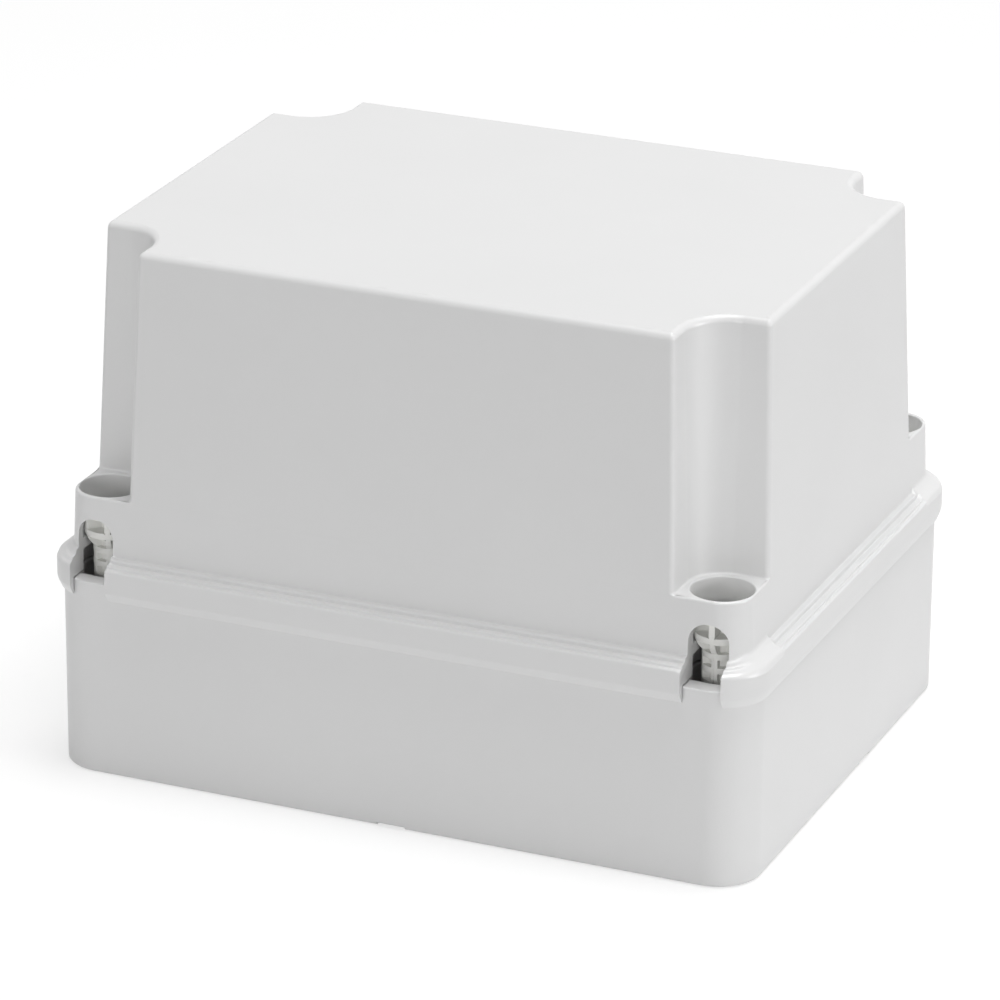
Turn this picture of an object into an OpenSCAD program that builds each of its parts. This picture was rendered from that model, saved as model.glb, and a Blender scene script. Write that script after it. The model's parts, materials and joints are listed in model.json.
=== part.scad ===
// Deep-lid wall box: a base, a domed lid that opens over its front edge, the seal between
// them, and four quarter-turn screws that stay in wells at the lid's corners.
// Millimetres. Origin at the centre of the underside, +X along the box, -Y to the front.

/* [Base] */
// Length of the base, outside
base_length = 195.8; // [180:0.2:212]
// Width of the base, outside
base_width = 151.6; // [138:0.2:166]
// Height of the base's outer wall
base_height = 54.2; // [50:0.1:75]
// Wall thickness of the base
base_wall = 3; // [2.6:0.1:3.2]
// Floor thickness of the base
floor_t = 3; // [2.5:0.1:3.5]
// Corner radius of the base
base_corner = 12; // [10:0.5:12.5]

/* [Lid] */
// Height of the lid's collar, from the base's edge up to the four corner shelves
collar_height = 22.75; // [21.5:0.05:28]
// Height of the dome above the shelves
dome_height = 68; // [40:1:85]
// Draft of the dome's end walls in degrees
end_draft = 1.95; // [1:0.05:2.4]
// Draft of the dome's long walls in degrees
side_draft = 2.75; // [1:0.05:3]
// Wall thickness of the lid
lid_wall = 2.8; // [2.4:0.1:3]
// How far the skirt stands out past the base's end walls
skirt_out_end = 1.6; // [1.5:0.1:2.4]
// How far the skirt stands out past the base's long walls
skirt_out_side = 2.5; // [2:0.1:3]
// Distance of the hollow corners' inner walls from the screws, at the shelves
notch_r = 9.65; // [9.4:0.05:10.4]

/* [Corner wells and screws] */
// Distance of the screws from the base's end walls, outside
screw_inset_end = 12.35; // [12.3:0.05:13]
// Distance of the screws from the base's long walls, outside
screw_inset_side = 12.7; // [12.4:0.05:13.2]
// Bore radius of the wells above the screws
well_r = 8.2; // [8:0.05:8.25]
// Width of the windows in the long walls, in front of the screws
window_width = 10.6; // [10.4:0.1:12]
// Radius of a screw's head
head_r = 7.3; // [7:0.05:7.5]
// Radius of a screw's shaft
shaft_r = 4.9; // [4.6:0.05:5]

/* [Inside the base] */
// Distance from a screw to its wall fixing, along the box
fixing_step_x = 17.55; // [17:0.05:24]
// Distance from a screw to its wall fixing, across the box
fixing_step_y = 7.1; // [4:0.05:9]
// Radius of the wall-fixing holes
fixing_r = 2.75; // [2.2:0.05:3]
// Distance of the plate bosses from the base's end walls
plate_inset_x = 37.9; // [34:0.1:50]
// Distance of the plate bosses from the base's long walls
plate_inset_y = 35.8; // [32:0.1:45]
// Radius of the hole in the brass inserts, drilled for an M4 thread
insert_hole_r = 1.65; // [1.25:0.05:2]

/* [Hidden] */
$fn = 64;

shell_grey = [0.83, 0.83, 0.82];
screw_grey = [0.78, 0.78, 0.76];
seal_black = [0.16, 0.16, 0.17];
cap_grey = [0.70, 0.71, 0.71];
brass = [0.78, 0.62, 0.34];

far = 40;        // reach of a cutter that only has to pass the outer faces
skin = 0.01;     // overlap that joins two solids of one node
running = 0.4;   // clearance between the lid and the base
push_fit = 0.05; // clearance of pieces that are pushed into each other
cap_fit = 0.15;  // clearance of the caps' stems in their collars
cap_room = 0.3;  // clearance round the caps' flanges
past = 1;        // how far a cutter runs past the face that it cuts

// Corners, in the order front left, front right, back left, back right
FRONT_LEFT = [-1, -1];
FRONT_RIGHT = [1, -1];
BACK_LEFT = [-1, 1];
BACK_RIGHT = [1, 1];
CORNERS = [FRONT_LEFT, FRONT_RIGHT, BACK_LEFT, BACK_RIGHT];

// Base
base_x = base_length / 2;
base_y = base_width / 2;
screw_x = base_x - screw_inset_end;
screw_y = base_y - screw_inset_side;

// The seal's path is a rectangle that bends inward round each well. rim_x and rim_y are
// the half sizes of the rim's outer face, rim_bend its radius round a well.
rim_t = 1.6;
rim_x = base_x - base_wall + rim_t;
rim_y = base_y - base_wall + rim_t;
well_wall = 2.05;      // from a well's bore to the rim
rim_bend = well_r + well_wall;
rim_h = 2.1;
rim_top = base_height + rim_h;

// Lid, from the bottom up
skirt_x = base_x + skirt_out_end;
skirt_y = base_y + skirt_out_side;
skirt_round = 2;       // extra radius of the skirt's corners
skirt_corner = base_corner + skirt_round;
skirt_drop = 4.1;      // how far the skirt hangs below the base's edge
skirt_foot = base_height - skirt_drop;
chamfer_h = 2.5;       // height of the bevel under the skirt
chamfer_out = 0.3;     // width left under the bevel
land_gap = 0.5;        // between the base's edge and the lid's underside
land_z = base_height + land_gap;
groove_rise = 3.2;
groove_z = base_height + groove_rise;   // underside of the lid between tongue and seal
seal_rise = 4.6;
seal_z = base_height + seal_rise;       // top of the groove that holds the seal
seal_in = 2.4;         // the seal reaches this far inside the rim's outer face
seal_out = 0.8;        // and this far outside it
tongue_in = 3.4;       // inset of the tongue's outer face from the rim's outer face
tongue_t = 1.4;
tongue_lap = 1.2;      // how far the tongue hangs below the rim's top
tongue_z = rim_top - tongue_lap;
// Steps of the skirt's moulding: [height above the base's edge, inset from the skirt]
steps = [[4.6, 0], [5.8, 1.3], [7.0, 3.3]];
foot_rise = 8.3;
foot_z = base_height + foot_rise;       // foot of the drafted walls
foot_inset_end = 4.75;
foot_inset_side = 5.2;
band_h = 3.6;          // top of the skirt's upright band, above the base's edge
jamb_w = 1;            // from a window to the end of the steps, along the long walls
ramp_reach = 9;        // from a screw to the end of the steps, along the end walls
ramp_x = screw_x - window_width / 2 - jamb_w;   // the steps end here and a ramp goes
ramp_y = screw_y - ramp_reach;                  // round the corner instead
shelf_z = base_height + collar_height;
top_z = shelf_z + dome_height;
shelf_t = 2.4;
notch_draft = 2.35;
collar_corner = 8.5;   // radius of the collar's outer corners
post_wall = 1.5;
post_r = well_r + post_wall;   // outer radius of the wells, inside the lid

// Window in front of each screw
window_drop = 6.2;
window_side = 0.3;     // the sockets are this much wider on each side than the windows
window_top = shelf_z - window_drop;

// Screws, measured from the base's edge
ball_rise = 12.2;
ball_z = base_height + ball_rise;       // centre of the round underside of the head
head_h = 4;            // height of the head's straight side, above that centre
head_top = ball_z + head_h;
screw_reach = 11;
screw_foot = base_height - screw_reach;
core_r = 3.3;
rib_w = 1.7;
rib_count = 6;
// Stretches of the screw that are full discs: [bottom, top] above the base's edge
discs = [[-screw_reach, -4.5], [-2.5, -0.9], [1.2, 2.8], [5.1, 6.8], [9.6, 12.0],
    [15.2, ball_rise + head_h]];
lug_r = 6.3;
lug_w = 4.8;
lug_h = 3.1;
slot_w = 1.6;
slot_depth = 0.8;
slot_half = 5.6;
// Turn of each screw from its fully released position, clockwise in degrees
rest_turn = [12, 30, 0, 0];
rib_turn = 30;         // the lugs stand midway between two ribs

// Seat for a screw's head in its well
seat_r = 5.6;
seat_rise = 6.2;
seat_bottom = base_height + seat_rise;
seat_h = 3;

// Sockets for the screws in the base
socket_r = 7.8;
socket_half = window_width / 2 + window_side;
socket_rise = 3;
socket_floor = floor_t + socket_rise;
catch_play = 0.5;      // from the catches to a screw's shaft
catch_x = shaft_r + catch_play;
catch_half = 3.6;
catch_gap = 0.3;
catch_z = screw_foot + lug_h + catch_gap;
catch_h = 2.3;

// Wall fixings and their caps
fixing_x = screw_x - fixing_step_x;
fixing_y = screw_y - fixing_step_y;
collar_r = 7.3;
collar_rise = 7;
collar_top = floor_t + collar_rise;
head_room_r = 5.75;
head_seat_rise = 1;
head_room_z = floor_t + head_seat_rise;
flute_top = 4;         // solid left above the flutes that let the caps in
cap_t = 1.4;
cap_stem = 3.5;
cap_hollow_r = 4.4;

// Bosses for an equipment plate and their inserts
plate_x = base_x - plate_inset_x;
plate_y = base_y - plate_inset_y;
boss_r = 5;
boss_rise = 9;
boss_top = floor_t + boss_rise;
insert_r = 3;
insert_h = 8;
insert_groove = 0.4;   // depth of the groove round an insert
groove_w = 1.2;        // and its width

// Recesses in the base's bottom edge
recess_w = 8;
recess_h = 0.9;
recess_depth = 1.6;
recess_shift = 14;     // of the recesses in the end walls, from the middle

// Half sizes of the lid's drafted walls at height z
function lid_x(z) = skirt_x - foot_inset_end - (z - foot_z) * tan(end_draft);
function lid_y(z) = skirt_y - foot_inset_side - (z - foot_z) * tan(side_draft);

// Distance of the hollow corners' walls from the screws at height z
function notch_at(z) = notch_r + (z - shelf_z) * tan(notch_draft);

// ---- Outlines -------------------------------------------------------------------------

// Rectangle of half sizes x and y with corners of radius r
module rounded_rect(x, y, r) {
    square([2 * x, 2 * (y - r)], center = true);
    square([2 * (x - r), 2 * y], center = true);
    for (c = CORNERS) translate([c.x * (x - r), c.y * (y - r)]) circle(r = r);
}

// The seal's path, moved inward by inset
module seal_outline(inset) {
    bend = rim_bend + inset;
    difference() {
        square([2 * (rim_x - inset), 2 * (rim_y - inset)], center = true);
        for (c = CORNERS) at_screw(c) {
            circle(r = bend);
            translate([-bend, 0]) square([bend + far, far]);
            translate([0, -bend]) square([far, bend + far]);
        }
    }
}

// Band of the seal's path between two insets, from height z0 to z1
module seal_band(z0, z1, outer, inner) {
    translate([0, 0, z0]) linear_extrude(z1 - z0) difference() {
        seal_outline(outer);
        seal_outline(inner);
    }
}

// ---- Placing --------------------------------------------------------------------------

// Moves a child to the screw axis of a corner; local +X and +Y point out of the box
module at_screw(c) {
    translate([c.x * screw_x, c.y * screw_y]) face_out(c) children();
}

// Turns a child over so that its +X and +Y point out of the box at corner c
module face_out(c) {
    mirror([c.x < 0 ? 1 : 0, 0, 0]) mirror([0, c.y < 0 ? 1 : 0, 0]) children();
}

// Moves a child to corner c of a rectangle of half sizes x and y
module at_corner(c, x, y) {
    translate([c.x * x, c.y * y, 0]) children();
}

// ---- Base -----------------------------------------------------------------------------

// Floor, walls and the solid corners that hold the sockets
module base_shell() {
    difference() {
        linear_extrude(base_height) rounded_rect(base_x, base_y, base_corner);
        translate([0, 0, floor_t]) linear_extrude(base_height) seal_outline(rim_t);
    }
    seal_band(base_height - skin, rim_top, 0, rim_t);
}

// Hole that takes one screw, square behind the window, with two ledges that the screw's
// lugs turn under
module socket() {
    difference() {
        translate([0, 0, socket_floor]) {
            cylinder(r = socket_r, h = base_height);
            translate([-socket_half, 0, 0]) cube([2 * socket_half, socket_r, base_height]);
        }
        for (side = [-1, 1]) flip_x(side) translate([catch_x, -catch_half, catch_z])
            cube([socket_r, 2 * catch_half, catch_h]);
    }
}

// Mirrors a child across the YZ plane when side is negative
module flip_x(side) {
    mirror([side < 0 ? 1 : 0, 0, 0]) children();
}

// Recesses in the bottom edge, one in the middle of each long wall and one in each end
module edge_recesses() {
    for (side = [-1, 1]) {
        translate([0, side * base_y, 0])
            cube([recess_w, 2 * recess_depth, 2 * recess_h], center = true);
        translate([side * base_x, side * recess_shift, 0])
            cube([2 * recess_depth, recess_w, 2 * recess_h], center = true);
    }
}

module base() {
    color(shell_grey) difference() {
        union() {
            base_shell();
            for (c = CORNERS) {
                at_corner(c, fixing_x, fixing_y) cylinder(r = collar_r, h = collar_top);
                at_corner(c, plate_x, plate_y) cylinder(r = boss_r, h = boss_top);
            }
        }
        for (c = CORNERS) {
            at_screw(c) socket();
            at_corner(c, fixing_x, fixing_y) {
                translate([0, 0, -past]) cylinder(r = fixing_r, h = far);
                translate([0, 0, head_room_z]) cylinder(r = head_room_r, h = far);
                translate([0, 0, collar_top])
                    cylinder(r = collar_r, h = base_height - flute_top - collar_top);
            }
            at_corner(c, plate_x, plate_y) translate([0, 0, boss_top - insert_h])
                cylinder(r = insert_r + push_fit / 2, h = far);
        }
        edge_recesses();
    }
}

// Cap that covers the head of a wall-fixing screw
module fixing_cap(c) {
    color(cap_grey) at_corner(c, fixing_x, fixing_y) difference() {
        union() {
            translate([0, 0, collar_top]) cylinder(r = collar_r - cap_room, h = cap_t);
            translate([0, 0, collar_top - cap_stem])
                cylinder(r = head_room_r - cap_fit, h = cap_stem + skin);
        }
        translate([0, 0, collar_top - cap_stem - past])
            cylinder(r = cap_hollow_r, h = cap_stem + past);
    }
}

// Threaded insert for an equipment plate
module plate_insert(c) {
    color(brass) at_corner(c, plate_x, plate_y) translate([0, 0, boss_top - insert_h])
        difference() {
            cylinder(r = insert_r, h = insert_h);
            translate([0, 0, -past]) cylinder(r = insert_hole_r, h = insert_h + 2 * past);
            translate([0, 0, (insert_h - groove_w) / 2]) difference() {
                cylinder(r = insert_r + past, h = groove_w);
                cylinder(r = insert_r - insert_groove, h = groove_w);
            }
        }
}

// ---- Lid ------------------------------------------------------------------------------

// Block with the lid's drafted walls, moved inward by inset, between two heights
module drafted_block(z0, z1, inset) {
    ring = [[-1, -1], [1, -1], [1, 1], [-1, 1]];
    polyhedron(
        points = [for (z = [z0, z1], c = ring)
            [c.x * (lid_x(z) - inset), c.y * (lid_y(z) - inset), z]],
        faces = [[0, 1, 2, 3], [7, 6, 5, 4],
            [0, 4, 5, 1], [1, 5, 6, 2], [2, 6, 7, 3], [3, 7, 4, 0]]);
}

// One side of a hollow corner's cutter: a block whose wall at x = -notch_at(z) leans back
module notch_leg(z0, z1, extra) {
    polyhedron(
        points = [for (z = [z0, z1], y = [0, far], x = [-notch_at(z) - extra, far])
            [x, y, z]],
        faces = [[0, 1, 3, 2], [6, 7, 5, 4],
            [0, 4, 5, 1], [1, 5, 7, 3], [3, 7, 6, 2], [2, 6, 4, 0]]);
}

// Cutter for a hollow corner, from height z0 up past the top: a quarter round about the
// screw that runs on straight through both walls
module notch(z0, extra) {
    z1 = top_z + past;
    translate([0, 0, z0])
        cylinder(r1 = notch_at(z0) + extra, r2 = notch_at(z1) + extra, h = z1 - z0);
    notch_leg(z0, z1, extra);
    mirror([1, -1, 0]) notch_leg(z0, z1, extra);
}

// Outside of the dome above the shelves
module dome() {
    difference() {
        drafted_block(shelf_z - skin, top_z, 0);
        for (c = CORNERS) at_screw(c) notch(shelf_z - past, 0);
    }
}

// Outside of the collar, from the moulding up to the shelves
module collar() {
    intersection() {
        drafted_block(groove_z, shelf_z, 0);
        linear_extrude(shelf_z)
            rounded_rect(lid_x(foot_z), lid_y(foot_z), collar_corner);
    }
}

// Skirt with a bevelled foot, filled, up to the top of its upright band
module skirt() {
    bevel_x = base_x + running + chamfer_out;
    bevel_y = base_y + running + chamfer_out;
    bevel_top = skirt_foot + chamfer_h;
    hull() {
        translate([0, 0, skirt_foot]) linear_extrude(skin)
            rounded_rect(bevel_x, bevel_y, base_corner + running, $fn = 48);
        translate([0, 0, bevel_top]) linear_extrude(skin)
            rounded_rect(skirt_x, skirt_y, skirt_corner, $fn = 48);
    }
    translate([0, 0, bevel_top]) linear_extrude(base_height + band_h - bevel_top)
        rounded_rect(skirt_x, skirt_y, skirt_corner);
}

// Stepped moulding on the skirt, along the walls between the corners
module moulding() {
    intersection() {
        translate([0, 0, base_height]) for (s = steps) {
            linear_extrude(s[0])
                rounded_rect(skirt_x - s[1], skirt_y - s[1], skirt_corner - s[1]);
        }
        translate([0, 0, base_height]) linear_extrude(far) {
            square([2 * ramp_x, 2 * (skirt_y + far)], center = true);
            square([2 * (skirt_x + far), 2 * ramp_y], center = true);
        }
    }
}

// Plain ramp from the skirt's band up to the walls, at the corners
module corner_ramps() {
    ramp_foot = base_height + band_h - skin;
    intersection() {
        hull() {
            translate([0, 0, ramp_foot]) linear_extrude(skin)
                rounded_rect(skirt_x, skirt_y, skirt_corner, $fn = 48);
            translate([0, 0, foot_z]) linear_extrude(skin)
                rounded_rect(lid_x(foot_z), lid_y(foot_z), collar_corner, $fn = 48);
        }
        for (c = CORNERS) face_out(c)
            translate([ramp_x, ramp_y, base_height]) cube([far, far, far]);
    }
}

// Hollow of the lid above the groove, kept clear of the wells and the hollow corners
module lid_hollow() {
    difference() {
        drafted_block(groove_z - past, top_z - lid_wall, lid_wall);
        for (c = CORNERS) at_screw(c) {
            cylinder(r = post_r, h = shelf_z);
            translate([-post_r, 0, 0]) cube([post_r + far, far, shelf_z]);
            translate([0, -post_r, 0]) cube([far, post_r + far, shelf_z]);
            notch(shelf_z - shelf_t, lid_wall);
        }
    }
}

// Space under the lid that the base's edge and rim stand in
module lid_underside() {
    translate([0, 0, skirt_foot - past]) linear_extrude(land_z - skirt_foot + past)
        rounded_rect(base_x + running, base_y + running, base_corner + running);
    translate([0, 0, land_z - skin]) linear_extrude(groove_z - land_z + skin)
        seal_outline(-seal_out);
    seal_band(groove_z - skin, seal_z, -seal_out, seal_in);
}

// Window through a long wall into a well, open at the bottom
module window() {
    arch = window_width / 2;
    translate([0, 0, window_top - arch]) rotate([-90, 0, 0]) cylinder(r = arch, h = far);
    translate([-arch, 0, 0]) cube([window_width, far, window_top - arch]);
}

// Ring in a well that a screw's head bears on, with a round seat
module head_seat() {
    difference() {
        translate([0, 0, seat_bottom]) cylinder(r = well_r + skin, h = seat_h);
        cylinder(r = seat_r, h = shelf_z);
        translate([0, 0, ball_z]) sphere(r = head_r + push_fit);
    }
}

module lid() {
    color(shell_grey) difference() {
        union() {
            difference() {
                union() {
                    dome();
                    collar();
                    skirt();
                    moulding();
                    corner_ramps();
                }
                lid_underside();
                lid_hollow();
                translate([0, 0, land_z]) linear_extrude(groove_z - land_z + past)
                    seal_outline(tongue_in + tongue_t);
                for (c = CORNERS) at_screw(c) cylinder(r = well_r, h = top_z);
            }
            seal_band(tongue_z, groove_z + skin, tongue_in, tongue_in + tongue_t);
            for (c = CORNERS) at_screw(c) head_seat();
        }
        for (c = CORNERS) at_screw(c) window();
    }
}

module gasket() {
    color(seal_black)
        seal_band(rim_top + push_fit, seal_z, -seal_out + push_fit, seal_in - push_fit);
}

// ---- Screws ---------------------------------------------------------------------------

// Outer shape of a screw: shaft, round underside of the head, head
module screw_envelope() {
    translate([0, 0, screw_foot]) cylinder(r = shaft_r, h = ball_z - screw_foot);
    translate([0, 0, ball_z]) cylinder(r = head_r, h = head_top - ball_z);
    intersection() {
        translate([0, 0, ball_z]) sphere(r = head_r);
        translate([0, 0, ball_z - head_r]) cylinder(r = head_r + past, h = head_r);
    }
}

// What is left between the pockets: core, ribs and discs
module screw_lattice() {
    cylinder(r = core_r, h = head_top);
    for (i = [0 : rib_count - 1]) rotate(i * 360 / rib_count)
        translate([0, -rib_w / 2, 0]) cube([head_r + past, rib_w, head_top]);
    for (d = discs) translate([0, 0, base_height + d[0]])
        cylinder(r = head_r + past, h = d[1] - d[0]);
}

// One screw, released, standing on its own axis
module screw() {
    difference() {
        union() {
            intersection() {
                screw_envelope();
                rotate(rib_turn + 90) screw_lattice();
            }
            intersection() {
                translate([-lug_w / 2, -far, screw_foot]) cube([lug_w, 2 * far, lug_h]);
                translate([0, 0, screw_foot]) cylinder(r = lug_r, h = lug_h);
            }
        }
        translate([-slot_w / 2, -slot_half, head_top - slot_depth])
            cube([slot_w, 2 * slot_half, slot_depth + past]);
    }
}

module lid_screw(i) {
    color(screw_grey) at_corner(CORNERS[i], screw_x, screw_y) rotate(-rest_turn[i]) screw();
}

base();
lid();
gasket();
lid_screw(0);  // screw_front_left
lid_screw(1);  // screw_front_right
lid_screw(2);  // screw_back_left
lid_screw(3);  // screw_back_right
fixing_cap(FRONT_LEFT);  // fixing_cap_front_left
fixing_cap(FRONT_RIGHT);  // fixing_cap_front_right
fixing_cap(BACK_LEFT);  // fixing_cap_back_left
fixing_cap(BACK_RIGHT);  // fixing_cap_back_right
plate_insert(FRONT_LEFT);  // plate_insert_front_left
plate_insert(FRONT_RIGHT);  // plate_insert_front_right
plate_insert(BACK_LEFT);  // plate_insert_back_left
plate_insert(BACK_RIGHT);  // plate_insert_back_right
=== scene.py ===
# %% [markdown]
# # A wall box with a deep lid
# The box is a deep moulded lid on a low base, both in light grey polycarbonate. Four
# quarter-turn screws stand in wells at the lid's corners and show through small arched
# windows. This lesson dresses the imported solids: it makes the lid and the base again with
# the soft edges that a mould leaves, and gives every piece a finish.

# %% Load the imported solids
import json
import math

import bmesh
import bpy
from mathutils import Matrix, Vector


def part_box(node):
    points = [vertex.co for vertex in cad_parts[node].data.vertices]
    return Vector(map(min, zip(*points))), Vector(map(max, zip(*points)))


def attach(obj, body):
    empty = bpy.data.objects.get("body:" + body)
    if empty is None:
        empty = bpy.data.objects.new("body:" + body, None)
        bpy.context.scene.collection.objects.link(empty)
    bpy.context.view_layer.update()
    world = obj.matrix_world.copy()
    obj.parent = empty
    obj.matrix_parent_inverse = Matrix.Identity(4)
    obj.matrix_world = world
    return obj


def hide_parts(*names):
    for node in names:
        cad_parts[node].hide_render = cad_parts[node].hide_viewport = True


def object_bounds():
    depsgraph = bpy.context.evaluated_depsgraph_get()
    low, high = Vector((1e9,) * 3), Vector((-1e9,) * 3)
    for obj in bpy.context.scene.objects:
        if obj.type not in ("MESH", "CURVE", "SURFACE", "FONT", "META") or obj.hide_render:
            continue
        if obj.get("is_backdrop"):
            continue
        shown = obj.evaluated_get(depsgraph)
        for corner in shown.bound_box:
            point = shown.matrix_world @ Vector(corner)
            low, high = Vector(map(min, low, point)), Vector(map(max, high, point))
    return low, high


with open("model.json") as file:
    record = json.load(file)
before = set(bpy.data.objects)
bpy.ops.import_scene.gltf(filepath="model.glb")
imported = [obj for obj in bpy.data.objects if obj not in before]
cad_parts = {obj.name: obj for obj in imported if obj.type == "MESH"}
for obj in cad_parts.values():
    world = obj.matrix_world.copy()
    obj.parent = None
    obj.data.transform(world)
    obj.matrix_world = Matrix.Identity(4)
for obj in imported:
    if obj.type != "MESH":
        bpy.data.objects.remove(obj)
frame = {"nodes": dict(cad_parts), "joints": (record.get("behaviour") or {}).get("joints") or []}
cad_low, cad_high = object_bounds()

# %% [markdown]
# ## Sizes
# The solids say where things are: the boxes of the base and the lid give the outer sizes,
# and the joints give the axes of the screws. What they can't say, such as a wall's
# thickness or an edge's radius, is named here in millimetres, as a mould maker would.

# %% Read the main sizes from the solids
MM = 0.001

def box_mm(node):
    low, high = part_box(node)
    return low / MM, high / MM

base_high = box_mm("base")[1]
lid_low, lid_high = box_mm("lid")
BASE_X, BASE_Y, RIM_TOP = base_high
SKIRT_X, SKIRT_Y, TOP_Z = lid_high
SKIRT_FOOT = lid_low.z
SCREW_AXES = {
    joint["child"]: Vector(joint["pos_m"]) / MM
    for joint in frame["joints"] if joint["child"].startswith("screw")
}
SCREW_X = max(axis.x for axis in SCREW_AXES.values())
SCREW_Y = max(axis.y for axis in SCREW_AXES.values())
BASE_TOP = SKIRT_FOOT + 4.1    # the skirt hangs this far below the base's edge
print(f"base {2 * BASE_X:.1f} x {2 * BASE_Y:.1f} mm, screws at {SCREW_X:.2f}, {SCREW_Y:.2f}")

# %% Name the sizes that the solids can't say
BASE_WALL = 3.0
BASE_CORNER = 12.0
SKIRT_CORNER = 14.0
LID_WALL = 2.8
RUNNING_GAP = 0.4              # between the lid and the base
SHELF_Z = BASE_TOP + 22.75     # the four shelves with the wells' mouths
SHELF_T = 2.4
FOOT_Z = BASE_TOP + 8.3        # foot of the drafted walls
FOOT_X, FOOT_Y = SKIRT_X - 4.75, SKIRT_Y - 5.2
END_SLOPE = math.tan(math.radians(1.95))
SIDE_SLOPE = math.tan(math.radians(2.75))
POCKET_R = 9.65                # from a screw to the hollow corner's inner walls, at the shelf
COLLAR_CORNER = 8.5
WELL_R = 8.2
POST_R = WELL_R + 1.5
WINDOW_W, WINDOW_TOP = 10.6, SHELF_Z - 6.2
LAND_Z, GROOVE_Z, SEAL_Z = BASE_TOP + 0.5, BASE_TOP + 3.2, BASE_TOP + 4.6


def wall_x(z):
    """Half length of the lid's drafted walls at height z."""
    return FOOT_X - (z - FOOT_Z) * END_SLOPE


def wall_y(z):
    """Half width of the lid's drafted walls at height z."""
    return FOOT_Y - (z - FOOT_Z) * SIDE_SLOPE


def pocket_r(z, more=0.0):
    """Distances from a screw to its hollow corner's inner walls at height z, along X and Y."""
    return tuple(POCKET_R + (z - SHELF_Z) * slope + more for slope in (END_SLOPE, SIDE_SLOPE))

print(f"lid walls {2 * wall_x(TOP_Z):.1f} x {2 * wall_y(TOP_Z):.1f} mm at the top")

# %% [markdown]
# ## Colours and nodes
# Colours are written as sRGB hex values, as in a colour chart, and one function turns them
# into the linear numbers that Blender works with. One helper adds a node to any tree, so
# that a material or a Geometry Nodes tree reads as a list of what it is made of.

# %% Turn a hex colour into linear numbers
def colour(hex_code):
    parts = [int(hex_code[i:i + 2], 16) / 255 for i in (1, 3, 5)]
    return [p / 12.92 if p <= 0.04045 else ((p + 0.055) / 1.055) ** 2.4 for p in parts] + [1]

print("shell grey is", [round(c, 3) for c in colour("#DCDCDC")[:3]])


# %% Add a node with its settings and links
def add(tree, kind, inputs=None, **settings):
    """Adds a node. inputs maps socket names or numbers to values, sockets or lists of sockets."""
    node = tree.nodes.new(kind)
    for name, value in settings.items():
        setattr(node, name, value)
    for key, value in (inputs or {}).items():
        for part in value if isinstance(value, list) and value and isinstance(
                value[0], bpy.types.NodeSocket) else [value]:
            if isinstance(part, bpy.types.NodeSocket):
                tree.links.new(part, node.inputs[key])
            else:
                node.inputs[key].default_value = part
    return node


# %% Start a material
def new_material(name):
    """An empty node material with its Principled shader and Object coordinates."""
    material = bpy.data.materials.new(name)
    material.use_nodes = True
    tree = material.node_tree
    tree.nodes.clear()
    place = add(tree, "ShaderNodeTexCoord").outputs["Object"]
    shader = add(tree, "ShaderNodeBsdfPrincipled")
    add(tree, "ShaderNodeOutputMaterial", {"Surface": shader.outputs["BSDF"]})
    return material, tree, place, shader

# %% [markdown]
# ## Moulded polycarbonate
# The shells are injection moulded in pigmented polycarbonate. The mould is spark eroded,
# which gives the skin a fine even grain and a satin gloss: highlights are broad, and the
# edges catch a soft line of light. Real grain is about 0.15 mm across. It is drawn at
# 0.5 mm here, because a finer one wouldn't show, and very low. The colour is nearly even,
# with the faint slow drift that the melt leaves as it flows.

# %% Make the polycarbonate
def moulded(name, tone, drift_tone, roughness, ior, grain_mm, grain_height_mm, drift_mm):
    """A pigmented, moulded plastic with a fine grain and a slow drift of its tone."""
    material, tree, place, shader = new_material(name)
    drift = add(tree, "ShaderNodeTexNoise",
                {"Vector": place, "Scale": 1 / (drift_mm * MM), "Detail": 3})
    tones = add(tree, "ShaderNodeMix", {0: drift.outputs["Fac"], 6: colour(tone),
                7: colour(drift_tone)}, data_type="RGBA")
    grain = add(tree, "ShaderNodeTexNoise",
                {"Vector": place, "Scale": 1 / (grain_mm * MM), "Detail": 2})
    bump = add(tree, "ShaderNodeBump",
               {"Height": grain.outputs["Fac"], "Distance": grain_height_mm * MM, "Strength": 1})
    gloss = add(tree, "ShaderNodeMapRange",
                {"Value": drift.outputs["Fac"], "To Min": roughness - 0.03,
                 "To Max": roughness + 0.03})
    tree.links.new(tones.outputs[2], shader.inputs["Base Color"])
    tree.links.new(gloss.outputs[0], shader.inputs["Roughness"])
    tree.links.new(bump.outputs[0], shader.inputs["Normal"])
    shader.inputs["IOR"].default_value = ior
    return material

shell_plastic = moulded("moulded_polycarbonate_light_grey", "#DCDCDC", "#D8D8D8",
                        roughness=0.34, ior=1.58, grain_mm=0.5, grain_height_mm=0.012,
                        drift_mm=45)
print("made", shell_plastic.name)

# %% [markdown]
# ## Outlines and lofts
# Every level of the lid is a closed outline that is the same in all four corners. So one
# corner is drawn, and three mirrored copies complete the ring. A loft joins ring to ring
# with four-sided faces. This gives full control of the soft edges, which a bevel on a
# finished solid wouldn't, because the edges run into each other at the corners.

# %% Draw one corner of an outline
ARC_STEPS, FILLET_STEPS = 24, 6
CORNER_POINTS = ARC_STEPS + 2 * FILLET_STEPS + 1


def arc(centre, radius, start, end, steps):
    """Points from one angle to another, in degrees. The radius may be a pair, along X and Y."""
    across, along = radius if isinstance(radius, tuple) else (radius, radius)
    angles = [math.radians(start + (end - start) * i / steps) for i in range(steps + 1)]
    return [(centre[0] + across * math.cos(a), centre[1] + along * math.sin(a)) for a in angles]


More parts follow.
